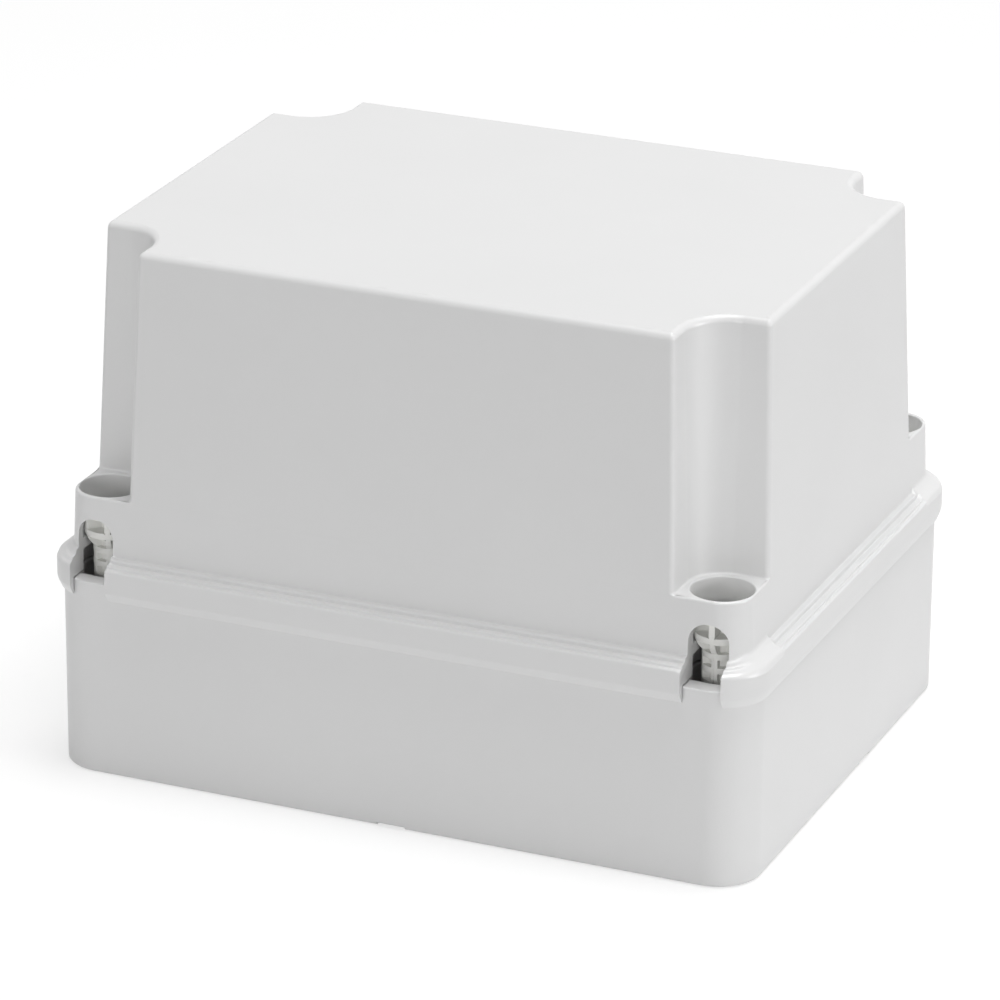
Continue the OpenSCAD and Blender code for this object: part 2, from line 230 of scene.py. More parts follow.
def post_corner(x, y, radius, fillet):
    """Walls at x and y that turn in square and run round the screw at a distance."""
    across, along = radius if isinstance(radius, tuple) else (radius, radius)
    low = (x - fillet, SCREW_Y - along - fillet)
    high = (SCREW_X - across - fillet, y - fillet)
    return (arc(low, fillet, 0, 90, FILLET_STEPS)
            + arc((SCREW_X, SCREW_Y), radius, -90, -180, ARC_STEPS)[1:-1]
            + arc(high, fillet, 0, 90, FILLET_STEPS))


def round_corner(x, y, radius):
    """Walls at x and y with a plain rounded corner."""
    return arc((x - radius, y - radius), radius, 0, 90, CORNER_POINTS - 1)

print(f"{CORNER_POINTS} points draw a corner")


# %% Complete a ring and join rings
def ring(corner, z):
    """Four mirrored copies of a corner as one closed ring. z is one height, or one per point."""
    heights = z if isinstance(z, list) else [z] * len(corner)
    points = [(x, y, h) for (x, y), h in zip(corner, heights)]
    return (points + [(-x, y, h) for x, y, h in reversed(points)]
            + [(-x, -y, h) for x, y, h in points] + [(x, -y, h) for x, y, h in reversed(points)])


def new_piece(name, mesh):
    """Makes the bmesh an object, in metres, with its faces pointing outwards."""
    bmesh.ops.remove_doubles(mesh, verts=mesh.verts, dist=1e-4)
    bmesh.ops.recalc_face_normals(mesh, faces=mesh.faces)
    bmesh.ops.scale(mesh, vec=(MM, MM, MM), verts=mesh.verts)
    data = bpy.data.meshes.new(name)
    mesh.to_mesh(data)
    mesh.free()
    piece = bpy.data.objects.new(name, data)
    bpy.context.scene.collection.objects.link(piece)
    return piece


def loft(name, rings, closed=False):
    """Joins rings in turn. The ends get a flat face, or the last ring joins the first."""
    mesh = bmesh.new()
    rows = [[mesh.verts.new(point) for point in points] for points in rings]
    for upper, lower in zip(rows, rows[1:] + (rows[:1] if closed else [])):
        for i in range(len(upper)):
            j = (i + 1) % len(upper)
            mesh.faces.new((upper[i], upper[j], lower[j], lower[i]))
    if not closed:
        mesh.faces.new(rows[0])
        mesh.faces.new(reversed(rows[-1]))
    return new_piece(name, mesh)


def prism(name, corner, low, high):
    """A straight block with one outline."""
    return loft(name, [ring(corner, high), ring(corner, low)])


def band(name, outer, inner, low, high):
    """A straight wall between two outlines."""
    return loft(name, [ring(outer, low), ring(outer, high), ring(inner, high), ring(inner, low)],
                closed=True)

# %% [markdown]
# Booleans cut and join these blocks. The manifold solver is fast and exact, and it asks for
# closed blocks, which lofts are. A tool is deleted once it has done its work.

# %% Cut and join blocks
def keep_modifiers(piece):
    """Makes what the piece's modifiers show its plain mesh."""
    graph = bpy.context.evaluated_depsgraph_get()
    result = bpy.data.meshes.new_from_object(piece.evaluated_get(graph))
    piece.modifiers.clear()
    piece.data = result


def combine(piece, tools, operation):
    """Cuts the tools from the piece, or joins them to it, and deletes them."""
    for tool in tools:
        change = piece.modifiers.new("combine", "BOOLEAN")
        change.operation, change.solver, change.object = operation, "MANIFOLD", tool
        keep_modifiers(piece)
        bpy.data.objects.remove(tool)


def tally(piece):
    """Prints how many faces a piece has, and how many of its edges are open."""
    mesh = bmesh.new()
    mesh.from_mesh(piece.data)
    loose = sum(not edge.is_manifold for edge in mesh.edges)
    print(f"{piece.name}: {len(mesh.faces)} faces, {loose} open edges")
    mesh.free()

# %% [markdown]
# ## The lid's skin
# The dome has drafted walls, so that it leaves its mould, and a hollow corner above each
# screw for the screwdriver. Below the hollow corners stands the collar with the four
# shelves. Its foot runs out over a stepped moulding to the skirt. Round the corners the
# steps fade into an S-shaped ramp. All this is one loft, from the top down.

# %% Round the corners of a profile
def rounded_profile(points, radii, steps=4):
    """Rounds each inner point of a profile with its radius, in steps."""
    rounded = [points[0]]
    for before, point, after, radius in zip(points, points[1:], points[2:], radii):
        p, to, on = Vector(point), Vector(before) - Vector(point), Vector(after) - Vector(point)
        turn = to.angle(on)
        reach = min(radius / math.tan(turn / 2), to.length * 0.49, on.length * 0.49)
        start, end = p + to.normalized() * reach, p + on.normalized() * reach
        for i in range(steps + 1):
            t = i / steps
            rounded.append((start * (1 - t) ** 2 + p * 2 * t * (1 - t) + end * t ** 2)[:])
    return rounded + [points[-1]]


def evenly(points, count):
    """The same profile with its points at even distances."""
    steps = [math.dist(a, b) for a, b in zip(points, points[1:])]
    total, result, done, k = sum(steps), [], 0.0, 0
    for i in range(count):
        want = total * i / (count - 1)
        while k < len(steps) - 1 and done + steps[k] < want:
            done, k = done + steps[k], k + 1
        t = (want - done) / steps[k]
        result.append(tuple(a + (b - a) * t for a, b in zip(points[k], points[k + 1])))
    return result

# %% Draw the moulding and the ramp
# Each point is a pair: how far out from the wall, and how high above the base's edge.
OUT = SKIRT_Y - FOOT_Y
WALL_START, BAND_H = 9.6, 3.6   # where the wall begins, and the top of the skirt's band
RAMP_BENDS = [(0, 8.1), (OUT * 0.86, 5.1)]
STEP_HEIGHTS, STEP_OUTS = (7.0, 5.8, 5.15), (1.9, 3.9, OUT)
stairs = [(0, WALL_START)]
reached = 0
for height, out in zip(STEP_HEIGHTS, STEP_OUTS):
    stairs += [(reached, height), (out, height)]
    reached = out
stairs.append((OUT, BAND_H))
moulding = rounded_profile(stairs, (0.4, 0.5, 0.3, 0.5, 0.3, 1.5))
ramp = evenly(rounded_profile([(0, WALL_START), *RAMP_BENDS, (OUT, BAND_H)], (2.6, 1.6),
                              steps=12), len(moulding))
print(f"moulding and ramp have {len(moulding)} levels each")

# %% Place the corner stations of the collar
JAMB_W, RAMP_REACH = 1, 9       # from a window, and from a screw, to the end of the steps
RAMP_X, RAMP_Y = SCREW_X - WINDOW_W / 2 - JAMB_W, SCREW_Y - RAMP_REACH
ARRIS = 1.3                     # radius of the dome's upright edges
TOP_EDGE, SHELF_EDGE, POCKET_FOOT = 1.9, 0.7, 0.6
shelf_corner = post_corner(wall_x(SHELF_Z), wall_y(SHELF_Z), POCKET_R - POCKET_FOOT, ARRIS)
end_foot, side_foot = shelf_corner[0][1], shelf_corner[-1][0]
END_STATIONS = [end_foot, end_foot + ARRIS / 2, end_foot + ARRIS, RAMP_Y + 1.2, RAMP_Y + 6]
SIDE_STATIONS = [RAMP_X + 5, RAMP_X + 1.2, RAMP_X, side_foot + ARRIS, side_foot + ARRIS / 2,
                 side_foot]
TURN_POINTS = CORNER_POINTS - len(END_STATIONS) - len(SIDE_STATIONS)
LEDGED = 0.6                    # how much of the steps is left between turn and window
EDGE_START = 0.13               # how much of the shelf's soft edge is left beside the dome


def eased(share):
    """Rises gently from 0 to 1."""
    share = min(max(share, 0), 1)
    return share * share * (3 - 2 * share)

turning = [LEDGED * eased((90 * i / (TURN_POINTS - 1) - 15) / 45) for i in range(TURN_POINTS)]
STEPPED = [1, 1, 1, 0, 0] + turning + [LEDGED, LEDGED, 1, 1, 1, 1]
EDGED = [0, EDGE_START, 1, 1, 1] + [1] * TURN_POINTS + [1, 1, 1, 1, EDGE_START, 0]
TURN = (FOOT_X - COLLAR_CORNER, FOOT_Y - COLLAR_CORNER)
print(f"{TURN_POINTS} points turn the collar's corner")


def station_corner(x, y, turn, radii, inset=0.0):
    """A corner through the stations. The inset fades out beside the hollow corner."""
    ends = [(x - inset * k, s) for s, k in zip(END_STATIONS, EDGED)]
    sides = [(s, y - inset * k) for s, k in zip(SIDE_STATIONS, EDGED[-len(SIDE_STATIONS):])]
    return ends + arc(turn, (radii[0] - inset, radii[1] - inset), 0, 90, TURN_POINTS - 1) + sides


def collar_corner(z, inset=0.0):
    x, y = wall_x(z), wall_y(z)
    return station_corner(x, y, TURN, (x - TURN[0], y - TURN[1]), inset)


skirt_corner = station_corner(SKIRT_X, SKIRT_Y, (SKIRT_X - SKIRT_CORNER, SKIRT_Y - SKIRT_CORNER),
                              (SKIRT_CORNER, SKIRT_CORNER))
FOOT_CORNER = BASE_CORNER + RUNNING_GAP
foot_x, foot_y = BASE_X + 0.7, BASE_Y + 0.7
foot_corner = station_corner(foot_x, foot_y, (foot_x - FOOT_CORNER, foot_y - FOOT_CORNER),
                             (FOOT_CORNER, FOOT_CORNER))


def between(a, b, share):
    """Points part of the way from one outline to another."""
    return [tuple(p + (q - p) * share for p, q in zip(u, v)) for u, v in zip(a, b)]

# %% Loft the lid from the top down
MIN_FILLET = 0.12


def dome_ring(z, inset=0.0, foot=0.0):
    fillet = max(ARRIS - inset, MIN_FILLET)
    return ring(post_corner(wall_x(z) - inset, wall_y(z) - inset,
                            pocket_r(z, inset - foot), fillet), z)


def quarter(steps=6):
    """Sines and cosines of even turns from 0 to 90 degrees."""
    return [(math.sin(math.pi / 2 * i / steps), math.cos(math.pi / 2 * i / steps))
            for i in range(steps + 1)]

rings = [dome_ring(TOP_Z - TOP_EDGE * (1 - c), TOP_EDGE * (1 - s)) for s, c in quarter(8)]
dome_top, dome_foot = TOP_Z - TOP_EDGE, SHELF_Z + POCKET_FOOT
rings += [dome_ring(dome_top + (dome_foot - dome_top) * i / 5) for i in range(1, 5)]
rings += [dome_ring(SHELF_Z + POCKET_FOOT * (1 - s), foot=POCKET_FOOT * (1 - c))
          for s, c in quarter()]
rings += [ring(collar_corner(SHELF_Z, SHELF_EDGE * (1 - s)), SHELF_Z - SHELF_EDGE * (1 - c))
          for s, c in quarter(5)]
for (step_out, step_h), (ramp_out, ramp_h) in zip(moulding, ramp):
    outs = [ramp_out + (step_out - ramp_out) * k for k in STEPPED]
    heights = [BASE_TOP + ramp_h + (step_h - ramp_h) * k for k in STEPPED]
    rings.append(ring(
        [tuple(p + (q - p) * out / OUT for p, q in zip(wall, skirt))
         for wall, skirt, out in zip(collar_corner(FOOT_Z), skirt_corner, outs)], heights))
SKIRT_EDGE, BEVEL_TOP = 0.5, SKIRT_FOOT + 2.5
rings.append(ring(skirt_corner, BEVEL_TOP + SKIRT_EDGE))
rings.append(ring(between(skirt_corner, foot_corner, 0.06), BEVEL_TOP + SKIRT_EDGE * 0.3))
rings.append(ring(between(skirt_corner, foot_corner, 0.22), BEVEL_TOP - SKIRT_EDGE))
rings.append(ring(foot_corner, SKIRT_FOOT))
lid = loft("lid_shell", rings)
tally(lid)

# %% [markdown]
# ## The lid's inside
# The hollow follows the skin at one wall thickness, as a moulding must, and keeps clear of
# the four posts. A groove for the seal runs round the foot, with a tongue inside it that
# reaches down past the base's rim.

# %% Hollow the lid
INNER_FILLET = 0.6


def hollow_ring(z, radius, inset=0.0):
    gap = LID_WALL + inset
    return ring(post_corner(wall_x(z) - gap, wall_y(z) - gap, radius, INNER_FILLET), z)

ceiling, shelf_under = TOP_Z - LID_WALL, SHELF_Z - SHELF_T
CEILING_EDGE = 1.2
hollow = [hollow_ring(ceiling - CEILING_EDGE * (1 - c),
                      pocket_r(ceiling, LID_WALL + CEILING_EDGE * (1 - s)), CEILING_EDGE * (1 - s))
          for s, c in quarter(4)]
hollow.append(hollow_ring(shelf_under, pocket_r(shelf_under, LID_WALL)))
hollow.append(hollow_ring(shelf_under, POST_R))
hollow.append(hollow_ring(GROOVE_Z - 1, POST_R))
lid_tools = [loft("hollow", hollow)]

# %% Cut the underside that fits over the base
RIM_T = 1.6
RIM_X, RIM_Y = BASE_X - BASE_WALL + RIM_T, BASE_Y - BASE_WALL + RIM_T
RIM_BEND = WELL_R + 2.05


def seal_path(inset):
    """The seal's path, moved inwards from the rim's outer face."""
    return post_corner(RIM_X - inset, RIM_Y - inset, RIM_BEND + inset, 0.3)

SEAL_OUT, SEAL_IN, TONGUE_IN, TONGUE_T = 0.8, 2.4, 3.4, 1.4
lid_tools += [
    prism("base_room", round_corner(BASE_X + RUNNING_GAP, BASE_Y + RUNNING_GAP, FOOT_CORNER),
          SKIRT_FOOT - 1, LAND_Z),
    prism("rim_room", seal_path(-SEAL_OUT), LAND_Z - 0.05, GROOVE_Z),
    band("seal_groove", seal_path(-SEAL_OUT), seal_path(SEAL_IN), GROOVE_Z - 0.05, SEAL_Z),
    prism("way_in", seal_path(TONGUE_IN + TONGUE_T), LAND_Z, GROOVE_Z + 1),
]
print(f"{len(lid_tools)} blocks to cut from the lid")

# %% [markdown]
# ## Wells, seats and windows
# A well is a turned shape: a straight bore with a soft lip. The ring that a screw's head
# bears on is turned too, with a round seat. Each window is an arch through the long wall,
# open at the foot, so the screw can be seen from the front.

# %% Turn a shape about a screw's axis
CORNERS = [(-1, -1), (1, -1), (1, 1), (-1, 1)]


def turned(name, profile, corner, closed=False, steps=96):
    """Turns a profile of (radius, height) pairs about the screw at a corner."""
    x, y = corner[0] * SCREW_X, corner[1] * SCREW_Y
    angles = [2 * math.pi * i / steps for i in range(steps)]
    return loft(name, [[(x + r * math.cos(a), y + r * math.sin(a), z) for a in angles]
                       for r, z in profile], closed)

# %% Cut the wells and add the seats
LIP, SEAT_R, HEAD_R, BALL_Z = 0.45, 5.6, 7.35, BASE_TOP + 12.2
SEAT_LOW, SEAT_HIGH = BASE_TOP + 6.2, BASE_TOP + 9.2
well = [(WELL_R + LIP, SHELF_Z + 0.8)]
well += [(WELL_R + LIP * (1 - s), SHELF_Z - LIP * (1 - c)) for s, c in quarter()]
well.append((WELL_R, SKIRT_FOOT - 1))
seat_start, seat_end = math.acos(SEAT_R / HEAD_R), math.asin((BALL_Z - SEAT_HIGH) / HEAD_R)
seat = [(WELL_R + 0.05, SEAT_HIGH), (WELL_R + 0.05, SEAT_LOW), (SEAT_R, SEAT_LOW)]
seat += [(HEAD_R * math.cos(a), BALL_Z - HEAD_R * math.sin(a))
         for a in (seat_start + (seat_end - seat_start) * i / 6 for i in range(7))]
lid_tools += [turned("well", well, corner) for corner in CORNERS]
combine(lid, lid_tools, "DIFFERENCE")
combine(lid, [band("tongue", seal_path(TONGUE_IN), seal_path(TONGUE_IN + TONGUE_T),
                   RIM_TOP - 1.2, GROOVE_Z + 0.05)]
        + [turned("seat", seat, corner, closed=True) for corner in CORNERS], "UNION")
tally(lid)

# %% Open the windows
WINDOW_REACH = 40               # from a screw outwards, past the skirt


def arch(corner):
    """A block with an arched top that reaches out through the long wall."""
    half, foot = WINDOW_W / 2, SKIRT_FOOT - 1
    outline = [(half, foot)] + arc((0, WINDOW_TOP - half), half, 0, 180, 32) + [(-half, foot)]
    x, y = corner[0] * SCREW_X, corner[1] * SCREW_Y
    return loft("window", [[(x + across, y + corner[1] * out, z) for across, z in outline]
                           for out in (WINDOW_REACH, 0)])

combine(lid, [arch(corner) for corner in CORNERS], "DIFFERENCE")
tally(lid)


# %% Smooth the shading between sharp edges
def smooth(piece, degrees=32, bevel_mm=0.0):
    """Shades a piece smooth between sharp edges. Its large faces keep their own direction."""
    if bevel_mm:
        bevel = piece.modifiers.new("bevel", "BEVEL")
        bevel.width, bevel.segments, bevel.limit_method = bevel_mm * MM, 2, "ANGLE"
        bevel.angle_limit, bevel.use_clamp_overlap = math.radians(40), False
        keep_modifiers(piece)
    piece.data.polygons.foreach_set("use_smooth", [True] * len(piece.data.polygons))
    piece.data.set_sharp_from_angle(angle=math.radians(degrees))
    weighted = piece.modifiers.new("weighted", "WEIGHTED_NORMAL")
    weighted.mode, weighted.weight, weighted.keep_sharp = "FACE_AREA", 50, True
    keep_modifiers(piece)
    return piece


def finish_piece(piece, material, body, slot, *nodes):
    """Gives a piece its material, lets it ride on its body and stand for its solids."""
    piece.data.materials.clear()
    piece.data.materials.append(material)
    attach(piece, body)
    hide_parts(*nodes)

finish_piece(smooth(lid), shell_plastic, "lid", "lid", "lid")

# %% [markdown]
# ## The base
# The base is a plain tray. Its outer skin is one loft with soft edges, and the rest is cut
# into it or stands in it: the hollow, a rim for the seal, a socket for each screw, and the
# collars and bosses for the wall screws and the equipment plate.

# %% Loft the base and hollow it
FLOOR_T, BASE_FOOT_EDGE, BASE_LIP, RIM_EDGE = 3.0, 0.9, 0.45, 0.3


def base_ring(z, inset=0.0):
    return ring(round_corner(BASE_X - inset, BASE_Y - inset, BASE_CORNER - inset), z)


def rim_ring(z, inset):
    return ring(seal_path(inset), z)

rings = [base_ring(BASE_FOOT_EDGE * (1 - s), BASE_FOOT_EDGE * (1 - c)) for s, c in quarter()][::-1]
rings += [base_ring(BASE_TOP - BASE_LIP * (1 - s), BASE_LIP * (1 - c)) for s, c in quarter()]
base = loft("base_shell", rings)
rim = [rim_ring(BASE_TOP - 0.5, 0), rim_ring(RIM_TOP - RIM_EDGE, 0), rim_ring(RIM_TOP, RIM_EDGE),
       rim_ring(RIM_TOP, RIM_T - RIM_EDGE), rim_ring(RIM_TOP - RIM_EDGE, RIM_T),
       rim_ring(BASE_TOP - 0.5, RIM_T)]
combine(base, [loft("rim", rim, closed=True)], "UNION")
FLOOR_EDGE = 1.0
tray = [rim_ring(RIM_TOP + 1, RIM_T)]
tray += [rim_ring(FLOOR_T + FLOOR_EDGE * (1 - s), RIM_T + FLOOR_EDGE * (1 - c))
         for s, c in quarter()]
combine(base, [loft("tray", tray)], "DIFFERENCE")
tally(base)

# %% Stand the collars and bosses in it, then cut the holes
SOCKET_R, SOCKET_FLOOR = 7.8, FLOOR_T + 3
COLLAR_R, COLLAR_TOP, BOSS_R, BOSS_TOP = 7.3, FLOOR_T + 7, 5.0, FLOOR_T + 9
CATCH_X, CATCH_Z, CATCH_H, CATCH_HALF = 5.4, BASE_TOP - 7.6, 2.3, 3.6
FIXING_R, HEAD_ROOM_R = 2.75, 5.75                # the wall screw's shaft and head
INSERT_HOLE_R, INSERT_H = 3.025, 8


def at_corners(node_prefix):
    """Where the four solids with this prefix stand, in millimetres."""
    spots = []
    for across, along in CORNERS:
        end, side = "front" if along < 0 else "back", "left" if across < 0 else "right"
        low, high = box_mm(f"{node_prefix}_{end}_{side}")
        spots.append(((low.x + high.x) / 2, (low.y + high.y) / 2))
    return spots


def post(name, spot, profile, steps=64):
    """Turns a profile of (radius, height) pairs about an upright axis."""
    angles = [2 * math.pi * i / steps for i in range(steps)]
    return loft(name, [[(spot[0] + r * math.cos(a), spot[1] + r * math.sin(a), z) for a in angles]
                       for r, z in profile])


def block(name, low, high):
    """A box from one corner to the other."""
    (a, b, c), (d, e, f) = low, high
    return loft(name, [[(a, b, z), (d, b, z), (d, e, z), (a, e, z)] for z in (c, f)])

fixings, inserts = at_corners("fixing_cap"), at_corners("plate_insert")
EDGE = 0.4                      # soft edge on top of the collars and bosses
combine(base, [post("collar", spot, [(COLLAR_R, FLOOR_T - 1), (COLLAR_R, COLLAR_TOP - EDGE),
                                     (COLLAR_R - EDGE, COLLAR_TOP)]) for spot in fixings]
        + [post("boss", spot, [(BOSS_R + 0.6, FLOOR_T - 1), (BOSS_R, BOSS_TOP - EDGE),
                               (BOSS_R - EDGE, BOSS_TOP)]) for spot in inserts], "UNION")
tools = [post("flute", spot, [(COLLAR_R, COLLAR_TOP), (COLLAR_R, BASE_TOP - 4)])
         for spot in fixings]
tools += [post("wall_screw_hole", spot, [
    (FIXING_R, -1), (FIXING_R, FLOOR_T + 1), (HEAD_ROOM_R, FLOOR_T + 1),
    (HEAD_ROOM_R, COLLAR_TOP + 1)]) for spot in fixings]
tools += [post("insert_hole", spot, [(INSERT_HOLE_R, BOSS_TOP - INSERT_H),
                                     (INSERT_HOLE_R, BOSS_TOP + 1)]) for spot in inserts]
for across, along in CORNERS:
    x, y = across * SCREW_X, along * SCREW_Y
    half = WINDOW_W / 2 + 0.3
    wide = sorted((y, y + along * SOCKET_R))
    tools.append(post("socket", (x, y), [(SOCKET_R, SOCKET_FLOOR), (SOCKET_R, BASE_TOP - 0.3),
                                         (SOCKET_R + 0.4, BASE_TOP + 0.1)], 96))
    tools.append(block("socket_front", (x - half, wide[0], SOCKET_FLOOR),
                       (x + half, wide[1], BASE_TOP + 1)))
combine(base, tools, "DIFFERENCE")


def catch(x, y, side):
    """A ledge in a socket that one of the screw's lugs turns under."""
    near, far = sorted((x + side * CATCH_X, x + side * (SOCKET_R + 0.5)))
    return block("catch", (near, y - CATCH_HALF, CATCH_Z),
                 (far, y + CATCH_HALF, CATCH_Z + CATCH_H))

combine(base, [catch(across * SCREW_X, along * SCREW_Y, side)
               for across, along in CORNERS for side in (-1, 1)], "UNION")
tally(base)

# %% Cut the recesses in its bottom edge
RECESS_W, RECESS_H, RECESS_IN, RECESS_SHIFT = 8.0, 0.9, 1.6, 14.0
recesses = []
for side in (-1, 1):
    edge = sorted((side * (BASE_X - RECESS_IN), side * (BASE_X + 1)))
    recesses.append(block("recess", (edge[0], side * RECESS_SHIFT - RECESS_W / 2, -1),
                          (edge[1], side * RECESS_SHIFT + RECESS_W / 2, RECESS_H)))
    edge = sorted((side * (BASE_Y - RECESS_IN), side * (BASE_Y + 1)))
    recesses.append(block("recess", (-RECESS_W / 2, edge[0], -1),
                          (RECESS_W / 2, edge[1], RECESS_H)))
combine(base, recesses, "DIFFERENCE")
finish_piece(smooth(base), shell_plastic, "base", "base", "base")
tally(base)

# %% [markdown]
# ## Pieces from Geometry Nodes
# The screws, the seal, the caps and the inserts repeat a shape or follow a path, so each
# comes from a node tree. A tree works in millimetres, has named inputs, and ends by making
# its copies real and giving them their material. The result is kept as a plain mesh.

# %% Start, end and run a node tree
def new_tree(name, **inputs):
    """A Geometry Nodes tree with named inputs. Each is given with its kind of socket."""
    tree = bpy.data.node_groups.new(name, "GeometryNodeTree")
    for side in ("INPUT", "OUTPUT"):
        tree.interface.new_socket("Geometry", in_out=side, socket_type="NodeSocketGeometry")
    for label, kind in inputs.items():
        tree.interface.new_socket(label, in_out="INPUT", socket_type="NodeSocket" + kind)
    return tree, tree.nodes.new("NodeGroupInput").outputs


def end_tree(tree, given, geometry):
    """Scales the shape to metres, makes its copies real and sets the material."""
    scaled = add(tree, "GeometryNodeTransform", {"Geometry": geometry, "Scale": (MM, MM, MM)})
    real = add(tree, "GeometryNodeRealizeInstances", {"Geometry": scaled.outputs[0]})
    dressed = add(tree, "GeometryNodeSetMaterial",
                  {"Geometry": real.outputs[0], "Material": given["Material"]})
    add(tree, "NodeGroupOutput", {"Geometry": dressed.outputs[0]})


def run_tree(name, tree, start, **values):
    """Runs the tree on a mesh or curve and keeps the result as a plain mesh."""
    source = bpy.data.objects.new(name, start)
    bpy.context.scene.collection.objects.link(source)
    nodes = source.modifiers.new("nodes", "NODES")
    nodes.node_group = tree
    for socket in tree.interface.items_tree:
        if socket.name in values:
            nodes[socket.identifier] = values[socket.name]
    graph = bpy.context.evaluated_depsgraph_get()
    result = bpy.data.meshes.new_from_object(source.evaluated_get(graph))
    bpy.data.objects.remove(source)
    piece = bpy.data.objects.new(name, result)
    bpy.context.scene.collection.objects.link(piece)
    return piece


def poly_curve(name, points, closed=True):
    """A curve of straight pieces through points in millimetres."""
    curve = bpy.data.curves.new(name, "CURVE")
    curve.dimensions = "3D"
    spline = curve.splines.new("POLY")
    spline.points.add(len(points) - 1)
    spline.points.foreach_set("co", [v for point in points for v in (*point, 1)])
    spline.use_cyclic_u = closed
    return curve

# %% [markdown]
# ## The screws
# A screw is a moulded envelope, made here as a turned shape, of which only a core, six
# ribs, a row of rings and three thick discs are left. The tree builds that lattice, keeps
# what lies inside the envelope, adds two lugs at the foot and cuts the driver's slot.
# Glass-filled polyamide is a little duller and warmer than the shell.

# %% Make the screws' plastic
screw_plastic = moulded("glass_filled_polyamide_grey", "#E8E8E5", "#E0E0DC",
                        roughness=0.5, ior=1.53, grain_mm=0.3, grain_height_mm=0.02, drift_mm=6)
print("made", screw_plastic.name)

# %% Turn the screw's envelope
SCREW_FOOT, HEAD_TOP = box_mm("screw_front_right")[0].z, box_mm("screw_front_right")[1].z
SHAFT_R, SCREW_HEAD_R, SCREW_EDGE = 4.9, 7.3, 0.35
ball_meets_shaft = math.acos(SHAFT_R / SCREW_HEAD_R)
envelope_profile = [(SHAFT_R - SCREW_EDGE, SCREW_FOOT), (SHAFT_R, SCREW_FOOT + SCREW_EDGE)]
envelope_profile += [(SCREW_HEAD_R * math.cos(a), BALL_Z - SCREW_HEAD_R * math.sin(a))
                     for a in (ball_meets_shaft * (1 - i / 16) for i in range(17))]
envelope_profile += [(SCREW_HEAD_R, HEAD_TOP - SCREW_EDGE), (SCREW_HEAD_R - SCREW_EDGE, HEAD_TOP)]
envelope = post("screw_envelope", (0, 0), envelope_profile, 96)
for vertex in envelope.data.vertices:
    vertex.co /= MM

# %% Build the screw's tree
screw_tree, given = new_tree(
    "quarter_turn_screw", CoreRadius="Float", Ribs="Int", RibWidth="Float", Rings="Int",
    RingThickness="Float", RingPitch="Float", FirstRing="Float", Turn="Float", Place="Vector",
    Material="Material")


def math_node(operation, a, b):
    return add(screw_tree, "ShaderNodeMath", {0: a, 1: b}, operation=operation).outputs[0]


def disc(radius, low, high, vertices=96):
    """A disc about the axis between two heights."""
    shape = add(screw_tree, "GeometryNodeMeshCylinder",
                {"Vertices": vertices, "Radius": radius, "Depth": high - low})
    return add(screw_tree, "GeometryNodeTransform",
               {"Geometry": shape.outputs["Mesh"],
                "Translation": (0, 0, (low + high) / 2)}).outputs[0]


def beam(size, middle):
    """A box of a size, with its middle at a height."""
    shape = add(screw_tree, "GeometryNodeMeshCube", {"Size": size})
    return add(screw_tree, "GeometryNodeTransform",
               {"Geometry": shape.outputs["Mesh"], "Translation": (0, 0, middle)}).outputs[0]


def boolean(operation, first, others):
    inputs = {"Mesh 2": others, "Self Intersection": True}
    if first:
        inputs["Mesh 1"] = first
    return add(screw_tree, "GeometryNodeMeshBoolean", inputs, operation=operation,
               solver="EXACT").outputs["Mesh"]


def copies(points, shape, rotation=None):
    inputs = {"Points": points, "Instance": shape}
    if rotation:
        inputs["Rotation"] = rotation
    placed = add(screw_tree, "GeometryNodeInstanceOnPoints", inputs)
    return add(screw_tree, "GeometryNodeRealizeInstances",
               {"Geometry": placed.outputs[0]}).outputs[0]

height, middle = HEAD_TOP - SCREW_FOOT + 2, (HEAD_TOP + SCREW_FOOT) / 2
beside_axis = add(screw_tree, "ShaderNodeCombineXYZ",
                  {0: 2 * SCREW_HEAD_R + 2, 1: given["RibWidth"], 2: height}).outputs[0]
pairs = math_node("DIVIDE", given["Ribs"], 2.0)
rib_points = add(screw_tree, "GeometryNodeMeshLine", {"Count": pairs, "Offset": (0, 0, 0)})
number = add(screw_tree, "GeometryNodeInputIndex").outputs[0]
step = math_node("DIVIDE", 2 * math.pi, given["Ribs"])
rib_turn = add(screw_tree, "ShaderNodeCombineXYZ", {2: math_node("MULTIPLY", number, step)})
ribs = copies(rib_points.outputs[0], beam(beside_axis, middle), rib_turn.outputs[0])
first = add(screw_tree, "ShaderNodeCombineXYZ", {2: given["FirstRing"]}).outputs[0]
pitch = add(screw_tree, "ShaderNodeCombineXYZ", {2: given["RingPitch"]}).outputs[0]
ring_points = add(screw_tree, "GeometryNodeMeshLine",
                  {"Count": given["Rings"], "Start Location": first, "Offset": pitch})
ring_shape = add(screw_tree, "GeometryNodeMeshCylinder",
                 {"Vertices": 96, "Radius": SCREW_HEAD_R + 1, "Depth": given["RingThickness"]})
rings_made = copies(ring_points.outputs[0], ring_shape.outputs["Mesh"])
core_shape = add(screw_tree, "GeometryNodeMeshCylinder",
                 {"Vertices": 64, "Radius": given["CoreRadius"], "Depth": height})
core = add(screw_tree, "GeometryNodeTransform",
           {"Geometry": core_shape.outputs["Mesh"], "Translation": (0, 0, middle)}).outputs[0]
PLATES = ((-12.0, -4.5), (9.9, 11.9), (15.2, 17.5))   # foot, neck and head, from the base's edge
plates = [disc(SCREW_HEAD_R + 1, BASE_TOP + low, BASE_TOP + high) for low, high in PLATES]
lattice = boolean("UNION", None, [core, ribs, rings_made] + plates)
body = boolean("INTERSECT", None, [given["Geometry"], lattice])
LUG_R, LUG_W, LUG_H = 6.3, 4.8, 3.1
SLOT_W, SLOT_HALF, SLOT_DEPTH = 1.6, 5.6, 0.8
